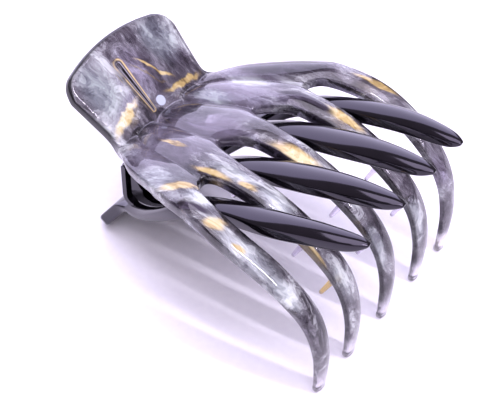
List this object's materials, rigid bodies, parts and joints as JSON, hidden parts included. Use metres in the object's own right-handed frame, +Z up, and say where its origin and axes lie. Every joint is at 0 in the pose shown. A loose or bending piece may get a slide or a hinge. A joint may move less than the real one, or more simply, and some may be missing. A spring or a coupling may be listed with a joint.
{
  "type": "flat claw clip",
  "caption": "Sprung hair claw clip: an arched marbled jaw with a wide handle plate and a glossy black lower jaw whose tines pass up between the arched ones.",
  "frame": {"origin": "centre of the bounding box in plan, at the surface that the closed clip lies on", "axes": "+X from the handle towards the tine tips, +Y across the clip, +Z up from the surface"},
  "size_m": [0.0932, 0.0704, 0.0494],
  "materials": {
    "marbled_acetate": "polished translucent marbled acetate, grey-lavender with pearl swirls and amber flecks",
    "black_acetate": "polished black",
    "spring_steel": "bright drawn wire"
  },
  "bodies": {
    "upper": {"upper_jaw": "marbled_acetate", "hinge_pin": "spring_steel", "spring_coil": "spring_steel"},
    "lower": {"lower_jaw": "black_acetate", "spring_leg": "spring_steel"}
  },
  "joints": [
    {"name": "jaw_hinge", "type": "hinge", "parent": "upper", "child": "lower", "pos_m": [-0.02691, 0, 0.02301], "axis": [0, 1, 0], "range_deg": [0, 50], "stiffness_Nm_per_rad": 0.3, "springref_deg": -34.38}
  ]
}
